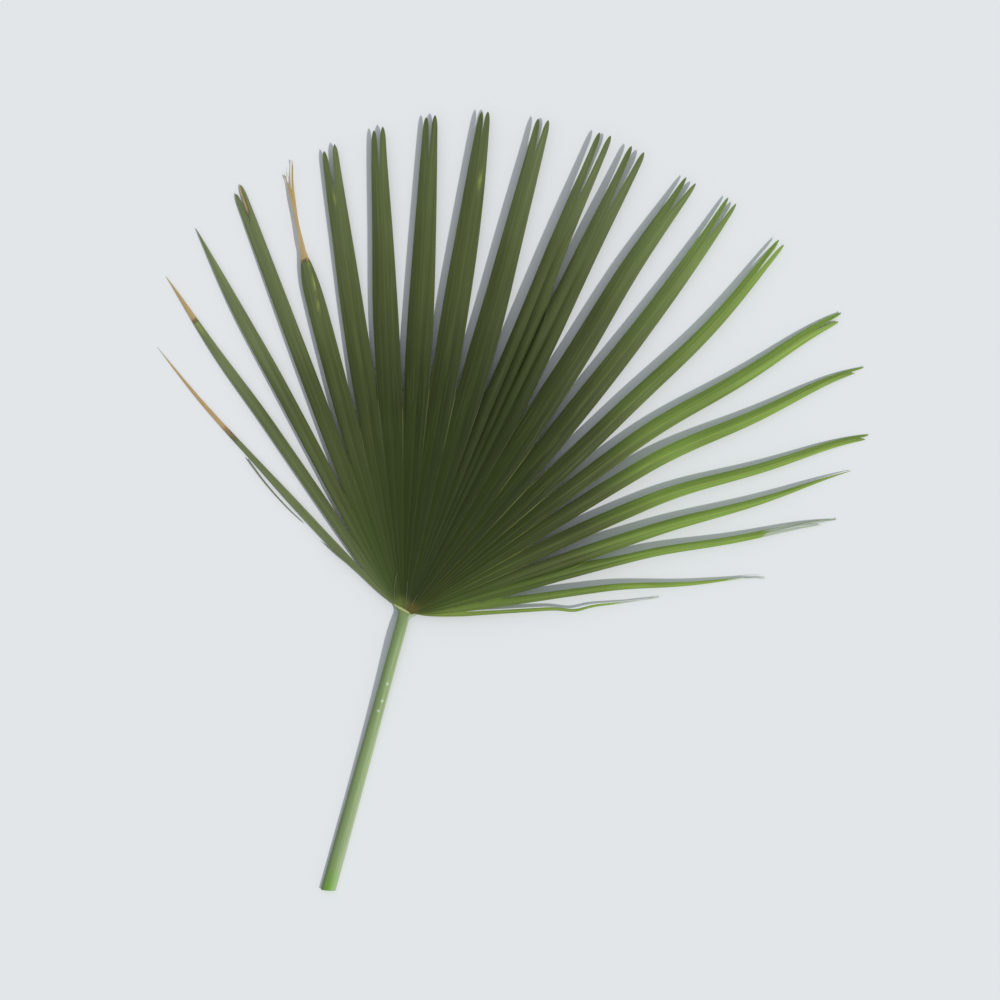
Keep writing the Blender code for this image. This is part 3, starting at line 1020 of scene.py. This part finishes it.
def lined_green(tree, settings, marks, green, streaks, veins):
    """Paler ribs, thin lines and rims, then the yellow blotches."""
    line_colour = blend_colour(tree, marks["fresh"], settings.rib_green, settings.rib_yellow)
    from_rib = math_node(tree, "ABSOLUTE", marks["across"])
    rib = inverse(tree, ramp(tree, from_rib, 0.0002, 0.0010))
    rib = times(tree, rib, scaled(tree, marks["ripe_and_painted_shading"], 0.22, 0.02))
    green = blend_colour(tree, rib, green, line_colour)
    thin = ramp(tree, veins.outputs["Relief"], 0.56, 0.70)
    thin = times(tree, thin, scaled(tree, marks["open"], 0.11, 0.03))
    green = blend_colour(tree, thin, green, line_colour)
    rim = inverse(tree, ramp(tree, marks["margin"], 0.0001, 0.0007))
    rim = times(tree, rim, scaled(tree, marks["split"], 0.42, 0.10))
    green = blend_colour(tree, rim, green, line_colour)
    speckled = times(tree, marks["blotch"], ramp(tree, streaks.outputs["Colour"], 0.3, 0.6))
    return blend_colour(tree, speckled, green, settings.rib_yellow)


def crest_flush(tree, settings, position, green):
    """The yellow glow and the orange brown flush beside the crest."""
    for (aside, size, strength), colour in ((GLOW, settings.rib_yellow), (FLUSH, settings.rust)):
        point = (CROWN[0] + aside, CROWN[1] + ABOVE_CROWN, CROWN_HEIGHT)
        near = times(tree, near_point(tree, position, point, size), strength)
        green = blend_colour(tree, near, green, colour)
    return green


def dried_colour(tree, settings, drawn_out, streaks):
    """Tan with lighter and darker lines and warm patches."""
    tan = blend_colour(
        tree, streaks.outputs["Relief"], tint(settings.dry, 0.62), tint(settings.dry, 1.30)
    )
    warm = times(tree, place_patches(tree, drawn_out, 0.42, 330.0), 0.5)
    return blend_colour(tree, warm, tan, tint(settings.rust, 1.7))


def blade_material(settings):
    """Satin green that lets some light through, with dried and bleached ends."""
    material, tree = new_material("palm blade")
    marks = {name: attribute(tree, name) for name in STRIP_MARKS}
    parts = {0: marks["across"], 1: marks["along"], 2: marks["shade"]}
    place = node(tree, "ShaderNodeCombineXYZ", parts).outputs[0]
    streaks = place_streaks(tree, place, 0.0008, 0.08)
    veins = place_streaks(tree, place, 0.0024, 0.14)
    position = node(tree, "ShaderNodeTexCoord").outputs["Object"]
    green = shaded_green(tree, settings, marks, position, streaks, veins)
    green = lined_green(tree, settings, marks, green, streaks, veins)
    green = crest_flush(tree, settings, position, green)

    drawn_out = vector_math(tree, "MULTIPLY", place, (1.0, 0.10, 1.0))
    dry = place_patches(tree, drawn_out, marks["dry"], 620.0)
    colour = blend_colour(tree, dry, green, dried_colour(tree, settings, drawn_out, streaks))
    started = times(tree, marks["dry"], inverse(tree, marks["dry"]))
    singed = times(tree, ramp(tree, started, 0.17, 0.25), 0.5)
    colour = blend_colour(tree, singed, colour, settings.singed)
    pale = place_patches(tree, drawn_out, marks["bleached"], 700.0)
    washed = tint(settings.bleached, 0.6)
    pale_colour = blend_colour(tree, streaks.outputs["Relief"], washed, settings.bleached)
    colour = blend_colour(tree, pale, colour, pale_colour)

    roughness = scaled(tree, streaks.outputs["Colour"], 0.2, 0.42)
    roughness = scaled(tree, math_node(tree, "MAXIMUM", dry, pale), 0.3, roughness)
    relief = {"Height": streaks.outputs["Relief"], "Distance": RELIEF_HEIGHT}
    bump = node(tree, "ShaderNodeBump", relief).outputs[0]
    surface = node(
        tree,
        "ShaderNodeBsdfPrincipled",
        {"Base Color": colour, "Roughness": roughness, "Normal": bump, "IOR": 1.42},
    )
    surface.inputs["Specular IOR Level"].default_value = 0.2
    through = blend_colour(tree, 1.0, colour, (1.6, 1.9, 0.8), mode="MULTIPLY")
    behind = node(tree, "ShaderNodeBsdfTranslucent", {"Color": through, "Normal": bump})
    both = node(tree, "ShaderNodeMixShader", {0: 0.30, 1: surface.outputs[0], 2: behind.outputs[0]})
    node(tree, "ShaderNodeOutputMaterial", {0: both.outputs[0]})
    return material


# Where the stalk's colours change: along it near the cut, and across it from the crown.
NEAR_CUT = (-0.292, -0.318)
# Painted shade darkens the stalk's left side, away from the key light.
SHADED_SIDE = (-0.0022, -0.0050)
# Painted highlight pales the stalk's right side, towards the key light.
HIGHLIT_SIDE = (0.0028, 0.0046)


def stalk_material(settings):
    """Smooth green, fresher at the cut, greyer and darker with painted shade on the left and paler with a
    painted highlight on the right.
    """
    material, tree = new_material("palm stalk")
    position = node(tree, "ShaderNodeTexCoord").outputs["Object"]
    streaks = place_streaks(tree, position, 0.0009, 0.06)
    parts = node(tree, "ShaderNodeSeparateXYZ", {0: position})
    near_cut = ramp(tree, parts.outputs[1], *NEAR_CUT)
    green = blend_colour(tree, near_cut, settings.green, settings.cut_green)
    # Painted shade: the left side of the stalk is greyed and darkened.
    painted_shade = ramp(tree, parts.outputs[0], *(CROWN[0] + aside for aside in SHADED_SIDE))
    green = blend_colour(tree, times(tree, painted_shade, 0.45), green, settings.painted_shade_green)
    # Painted highlight: the right side of the stalk is paled with the worn colour.
    highlit = ramp(tree, parts.outputs[0], *(CROWN[0] + aside for aside in HIGHLIT_SIDE))
    green = blend_colour(tree, times(tree, highlit, 0.35), green, settings.worn)
    green = darken(tree, green, scaled(tree, streaks.outputs["Colour"], 0.6, 0.7))

    wobble = node(tree, "ShaderNodeTexNoise", {"Vector": position, "Scale": 500.0, "Detail": 2.0})
    reach = (NICK_WOBBLE, NICK_WOBBLE, NICK_WOBBLE)
    pushed = vector_math(tree, "MULTIPLY", wobble.outputs["Color"], reach)
    wobbly = vector_math(tree, "ADD", position, pushed)
    nicks = 0.0
    for x, y in WORN_NICKS:
        point = (CROWN[0] + x + NICK_WOBBLE / 2, CROWN[1] + y + NICK_WOBBLE / 2, NICK_HEIGHT)
        nicks = math_node(tree, "MAXIMUM", nicks, near_point(tree, wobbly, point, NICK_SIZE))
    wear = place_patches(tree, position, 0.10, 330.0)
    worn = math_node(tree, "MAXIMUM", wear, times(tree, nicks, 0.75))
    colour = blend_colour(tree, worn, green, settings.worn)

    roughness = scaled(tree, streaks.outputs["Colour"], 0.2, 0.34)
    relief = {"Height": streaks.outputs["Relief"], "Distance": RELIEF_HEIGHT}
    bump = node(tree, "ShaderNodeBump", relief).outputs[0]
    surface = node(
        tree,
        "ShaderNodeBsdfPrincipled",
        {"Base Color": colour, "Roughness": roughness, "Normal": bump},
    )
    surface.inputs["Specular IOR Level"].default_value = 0.35
    node(tree, "ShaderNodeOutputMaterial", {0: surface.outputs[0]})
    return material


def thread_material(name, colour):
    """Dry papery fibre."""
    material, tree = new_material(name)
    position = node(tree, "ShaderNodeTexCoord").outputs["Object"]
    streaks = place_streaks(tree, position, 0.0006, 0.004)
    shade = blend_colour(tree, streaks.outputs["Colour"], tint(colour, 0.65), tint(colour, 1.35))
    relief = {"Height": streaks.outputs["Relief"], "Distance": THREAD_RELIEF_HEIGHT}
    bump = node(tree, "ShaderNodeBump", relief).outputs[0]
    surface = node(
        tree,
        "ShaderNodeBsdfPrincipled",
        {"Base Color": shade, "Roughness": 0.7, "Normal": bump},
    )
    node(tree, "ShaderNodeOutputMaterial", {0: surface.outputs[0]})
    return material


# Pieces


class PALM_OT_blade(bpy.types.Operator):
    """Pleat the blade from strips, one for each half of a segment."""

    bl_idname = "palm.blade"
    bl_label = "Pleated Blade"
    bl_options = {"REGISTER", "UNDO"}

    def execute(self, context):
        settings = context.scene.palm_blade
        start_fresh()
        bpy.ops.mesh.primitive_grid_add(x_subdivisions=ACROSS, y_subdivisions=ALONG, size=1.0)
        pattern = context.object
        strips = []
        for number in range(len(SEGMENTS)):
            for side in (1, -1):
                strip = pattern.copy()
                strip.data = pattern.data.copy()
                context.collection.objects.link(strip)
                shape_strip(strip, number, side, settings)
                strips.append(strip)
        bpy.data.objects.remove(pattern, do_unlink=True)
        start_fresh()
        for strip in strips:
            strip.select_set(True)
        context.view_layer.objects.active = strips[0]
        bpy.ops.object.join()
        blade = context.object
        bpy.ops.object.mode_set(mode="EDIT")
        bpy.ops.mesh.select_all(action="SELECT")
        bpy.ops.mesh.remove_doubles(threshold=0.000002)
        bpy.ops.mesh.normals_make_consistent(inside=False)
        bpy.ops.object.mode_set(mode="OBJECT")
        if sum(face.normal.z * face.area for face in blade.data.polygons) < 0:
            blade.data.flip_normals()
        wall = blade.modifiers.new("Thickness", "SOLIDIFY")
        wall.thickness = settings.thickness
        wall.offset = 0.0
        bpy.ops.object.modifier_apply(modifier=wall.name)
        bpy.ops.object.shade_smooth_by_angle(angle=math.radians(35.0))
        blade.data.materials.append(blade_material(settings))
        settle(blade, "pleated_blade")
        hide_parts("blade")
        return {"FINISHED"}


# The stalk lies on its belly near the cut and lifts off towards the neck. Its back is rounded over a foot
# that stands upright, a share of its depth.
STALK_SIDES = 24
STALK_STEPS = 64
NECK_END = -0.020
FOOT_SHARE = 0.22
HEAD_LIFT = 0.06
BELLY_SHARE = 0.86
CUT_DEPTH = 0.0052
NECK_DEPTH = 0.0058
CUT_SLANT = 0.0022
RESTING_LENGTH = 0.055
NECK_LIFT = 0.0040

# The head of the stalk: distance along it from the crown, and depth.
HEAD_STATIONS = (
    (-0.0120, 0.0057),
    (-0.0050, 0.0053),
    (0.0000, 0.0044),
    (0.0025, 0.0037),
    (0.0045, 0.0031),
    (0.0070, 0.0022),
    (0.0092, 0.0016),
    (0.0110, 0.0013),
    (0.0127, 0.0011),
    (0.0135, 0.0008),
)

# Nicks worn into the back of the stalk, across and along from the crown.
WORN_NICKS = ((0.0017, -0.0510), (0.0015, -0.0652), (0.0005, -0.0737))
NICK_HEIGHT = 0.0085
NICK_SIZE = 0.0019
NICK_WOBBLE = 0.002


def head_half_widths(y, neck_width):
    """The head spreads along the two outer edges of the blade and ends on the arc where the blade starts."""
    arc_radius = BLADE_START - SEAT_GAP
    arc = math.sqrt(max(arc_radius ** 2 - y ** 2, 0.0))
    left_slope = math.tan(math.radians(180.0 - narrowed(LEFT_EDGE, BLADE_START)))
    right_slope = math.tan(math.radians(narrowed(RIGHT_EDGE, BLADE_START)))
    left = min(max(neck_width / 2, y / left_slope), arc)
    right = min(max(neck_width / 2, y / right_slope), arc)
    return left, right


def stalk_ring(y, left, right, belly, depth, slant, cut_width):
    """One cross-section: a flat belly and a rounded back."""
    ring = []
    for side in range(STALK_SIDES):
        angle = 2.0 * math.pi * side / STALK_SIDES
        across = math.cos(angle)
        half = right if across > 0 else left
        lift = math.sin(angle)
        if lift < -0.01:
            x = across * half * BELLY_SHARE
            z = belly
        else:
            x = across * half
            z = belly + depth * mix(FOOT_SHARE, 1.0, max(lift, 0.0))
        ring.append(Vector((CROWN[0] + x, CROWN[1] + y + slant * x / cut_width, z)))
    return ring


class PALM_OT_stalk(bpy.types.Operator):
    """Draw the stalk out from its slanted cut to the head under the blade."""

    bl_idname = "palm.stalk"
    bl_label = "Stalk"
    bl_options = {"REGISTER", "UNDO"}

    def execute(self, context):
        settings = context.scene.palm_stalk
        rings = []
        for step in range(STALK_STEPS + 1):
            along = step / STALK_STEPS
            half = mix(settings.cut_width, settings.neck_width, ease(along)) / 2
            depth = mix(CUT_DEPTH, NECK_DEPTH, along)
            resting = RESTING_LENGTH / settings.length
            belly = NECK_LIFT * (max(along - resting, 0.0) / (1.0 - resting)) ** 2
            y = mix(-settings.length, NECK_END, along)
            slant = CUT_SLANT * (1.0 - ease(along * 2.0))
            rings.append(stalk_ring(y, half, half, belly, depth, slant, settings.cut_width))
        for y, depth in HEAD_STATIONS:
            left, right = head_half_widths(y, settings.neck_width)
            belly = NECK_LIFT + max(y, 0.0) * HEAD_LIFT
            rings.append(stalk_ring(y, left, right, belly, depth, 0.0, settings.cut_width))
        stalk = draw_tube(rings)
        bpy.ops.object.shade_smooth_by_angle(angle=math.radians(40.0))
        stalk.data.materials.append(stalk_material(settings))
        settle(stalk, "leaf_stalk")
        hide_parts("stalk")
        return {"FINISHED"}


# Each loose fibre is a run of points: direction and distance from the crown, and height.
TORN_FIBRES = (
    (
        (149.2, 0.1790, 0.0026),
        (150.1, 0.1607, 0.0022),
        (150.7, 0.1442, 0.0018),
        (151.0, 0.1267, 0.0015),
        (150.8, 0.1114, 0.0013),
    ),
    ((148.4, 0.0600, 0.0056), (150.0, 0.0741, 0.0050), (150.5, 0.0882, 0.0044)),
)
TORN_RADIUS = 0.0006
WHISKERS = (
    ((126.0, 0.0160, 0.0070), (119.5, 0.0270, 0.0080), (111.3, 0.0394, 0.0088)),
    ((94.0, 0.0120, 0.0070), (96.4, 0.0220, 0.0078), (98.5, 0.0330, 0.0084)),
    ((72.0, 0.0110, 0.0070), (76.0, 0.0190, 0.0076), (76.5, 0.0240, 0.0078)),
)
WHISKER_RADIUS = 0.00019

# Threads split off the ends of frayed segments: how many, and over what length. They part, curl and lift a
# little, and end one short of the other.
FRAYED = {4: (3, 0.016), 19: (3, 0.040), 20: (3, 0.030), 21: (2, 0.026)}
THREAD_RADIUS = 0.00022
THREAD_SPACING = 0.0011
THREAD_STAGGER = 0.0035
THREAD_CURL = 0.0004
THREAD_ARCH = 0.0006
THREAD_LIFT = 0.0003
FIBRE_END_SHARE = 0.25

# The crest is a low roll across the head of the stalk, thickest in its middle.
CREST_RADIUS = 0.0011
CREST_HEIGHT = 0.0068
CREST_STEPS = 16
CREST_END_SHARE = 0.45


def smooth_path(points, steps=16):
    """A smooth run through a few points, each given as direction, distance from the crown and height."""
    corners = [polar(*point) for point in points]
    path = []
    last = len(corners) - 1
    for step in range(steps + 1):
        at = step / steps * last
        index = min(int(at), last - 1)
        share = at - index
        before = corners[max(index - 1, 0)]
        start = corners[index]
        end = corners[index + 1]
        after = corners[min(index + 2, last)]
        bend = (2 * start) + (end - before) * share
        bend += (2 * before - 5 * start + 4 * end - after) * share ** 2
        bend += (3 * start - before - 3 * end + after) * share ** 3
        path.append(bend / 2)
    return path


def draw_fibre(path, radius, sides=6):
    """One fibre, thick at its root and fine at its end."""
    last = len(path) - 1
    taper = [math.sqrt(1.0 - (step / last) ** 2) for step in range(last + 1)]
    radii = [radius * mix(FIBRE_END_SHARE, 1.0, share) for share in taper]
    return draw_tube(thread_rings(path, radii, sides))


def frayed_paths(number):
    """Threads that part from the end of a segment, some short and some to its very tip."""
    count, length = FRAYED[number]
    segment = SEGMENTS[number]
    paths = []
    for thread in range(count):
        aside = (thread - (count - 1) / 2) * THREAD_SPACING
        end = segment.reach - THREAD_STAGGER * (thread * 2 % count)
        points = []
        for step in range(4):
            share = step / 3
            radius = mix(segment.reach - length, end, share)
            direction = rib_direction(number, radius)
            curl = THREAD_CURL * math.sin(5.0 * share + thread * 1.7)
            direction += math.degrees((aside * share + curl * share) / radius)
            height = rib_height(number, radius) + THREAD_ARCH * math.sin(math.pi * share) + THREAD_LIFT
            points.append((direction, radius, height))
        paths.append(smooth_path(points, 12))
    return paths


def join_fibres(fibres, name, material):
    """Make one piece of several fibres."""
    start_fresh()
    for fibre in fibres:
        fibre.select_set(True)
    bpy.context.view_layer.objects.active = fibres[0]
    if len(fibres) > 1:
        bpy.ops.object.join()
    piece = bpy.context.object
    piece.data.materials.append(material)
    bpy.ops.object.shade_smooth_by_angle(angle=math.radians(60.0))
    return settle(piece, name)


class PALM_OT_fibres(bpy.types.Operator):
    """Lay the crest, its whiskers, the torn fibres and the frayed threads on the leaf."""

    bl_idname = "palm.fibres"
    bl_label = "Crest and Fibres"
    bl_options = {"REGISTER", "UNDO"}

    def execute(self, context):
        settings = context.scene.palm_stalk
        blade = context.scene.palm_blade
        left = Vector((CROWN[0] + CREST_LEFT[0], CROWN[1] + CREST_LEFT[1], CREST_HEIGHT))
        right = Vector((CROWN[0] + CREST_RIGHT[0], CROWN[1] + CREST_RIGHT[1], CREST_HEIGHT))
        shares = [step / CREST_STEPS for step in range(CREST_STEPS + 1)]
        crest_path = [left.lerp(right, share) for share in shares]
        swell = [mix(CREST_END_SHARE, 1.0, math.sin(math.pi * share)) for share in shares]
        radii = [CREST_RADIUS * part for part in swell]
        crest = draw_tube(thread_rings(crest_path, radii, 10))
        join_fibres([crest], "crest", thread_material("palm crest", settings.yellow))

        fibre = thread_material("palm fibre", settings.fibre)
        whiskers = [draw_fibre(smooth_path(points), WHISKER_RADIUS) for points in WHISKERS]
        join_fibres(whiskers, "whiskers", fibre)
        torn = [draw_fibre(smooth_path(points), TORN_RADIUS) for points in TORN_FIBRES]
        join_fibres(torn, "torn_fibres", fibre)

        dry = thread_material("palm dry thread", blade.dry)
        pale = thread_material("palm bleached thread", blade.bleached)
        for number in FRAYED:
            threads = [draw_fibre(path, THREAD_RADIUS, 5) for path in frayed_paths(number)]
            material = dry if number == WITHERED else pale
            join_fibres(threads, f"frayed_end_{number + 1}", material)
        return {"FINISHED"}


PICTURE_CENTRE = (0.0176, 0.0176)
SENSOR_WIDTH = 36.0


class PALM_OT_stage(bpy.types.Operator):
    """Set the floor, the light and the camera."""

    bl_idname = "palm.stage"
    bl_label = "Stage"
    bl_options = {"REGISTER", "UNDO"}

    def execute(self, context):
        settings = context.scene.palm_stage
        start_fresh()
        bpy.ops.mesh.primitive_plane_add(size=12.0, location=(0.0, 0.0, 0.0))
        floor = context.object
        floor.name = "floor"
        material, tree = new_material("floor")
        surface = node(
            tree, "ShaderNodeBsdfPrincipled", {"Base Color": (*settings.floor, 1.0), "Roughness": 0.9}
        )
        surface.inputs["Specular IOR Level"].default_value = 0.0
        node(tree, "ShaderNodeOutputMaterial", {0: surface.outputs[0]})
        floor.data.materials.append(material)

        azimuth = settings.key_azimuth
        elevation = settings.key_elevation
        towards = Vector(
            (
                math.cos(azimuth) * math.cos(elevation),
                math.sin(azimuth) * math.cos(elevation),
                math.sin(elevation),
            )
        )
        bpy.ops.object.light_add(type="SUN", location=towards * 2.0)
        key = context.object
        key.name = "key"
        key.data.energy = settings.key_strength
        key.data.angle = settings.key_size
        key.rotation_mode = "QUATERNION"
        key.rotation_quaternion = towards.to_track_quat("Z", "Y")

        world = bpy.data.worlds.new("studio")
        world.use_nodes = True
        context.scene.world = world
        backdrop = world.node_tree.nodes["Background"]
        backdrop.inputs["Color"].default_value = (*settings.fill, 1.0)
        backdrop.inputs["Strength"].default_value = 1.0

        bpy.ops.object.camera_add(location=(*PICTURE_CENTRE, settings.distance))
        camera = context.object
        camera.name = "camera"
        camera.rotation_euler = (0.0, 0.0, settings.turn)
        camera.data.sensor_width = SENSOR_WIDTH
        camera.data.lens = SENSOR_WIDTH * settings.distance / settings.frame_width
        context.scene.camera = camera
        context.scene.view_settings.view_transform = "Standard"
        return {"FINISHED"}


class PALM_PT_panel(bpy.types.Panel):
    """Lists the pieces of the leaf with their sizes and colours."""

    bl_idname = "PALM_PT_panel"
    bl_label = "Fan Palm Leaf"
    bl_space_type = "VIEW_3D"
    bl_region_type = "UI"
    bl_category = "Palm Leaf"

    def draw(self, context):
        scene = context.scene
        column = self.layout.column()
        for name, settings in (
            ("palm.blade", scene.palm_blade),
            ("palm.stalk", scene.palm_stalk),
            ("palm.fibres", None),
            ("palm.stage", scene.palm_stage),
        ):
            column.operator(name)
            if settings is not None:
                for key in settings.__annotations__:
                    column.prop(settings, key)


SETTINGS = (
    ("palm_blade", PalmBladeSettings),
    ("palm_stalk", PalmStalkSettings),
    ("palm_stage", PalmStageSettings),
)
OPERATORS = (PALM_OT_blade, PALM_OT_stalk, PALM_OT_fibres, PALM_OT_stage)


def register():
    for name, settings in SETTINGS:
        bpy.utils.register_class(settings)
        setattr(bpy.types.Scene, name, bpy.props.PointerProperty(type=settings))
    for operator in OPERATORS:
        bpy.utils.register_class(operator)
    bpy.utils.register_class(PALM_PT_panel)


def unregister():
    bpy.utils.unregister_class(PALM_PT_panel)
    for operator in reversed(OPERATORS):
        bpy.utils.unregister_class(operator)
    for name, settings in reversed(SETTINGS):
        delattr(bpy.types.Scene, name)
        bpy.utils.unregister_class(settings)


def main():
    register()
    bpy.ops.palm.blade()
    bpy.ops.palm.stalk()
    bpy.ops.palm.fibres()
    bpy.ops.palm.stage()
    bpy.context.view_layer.update()


if __name__ == "__main__":
    main()
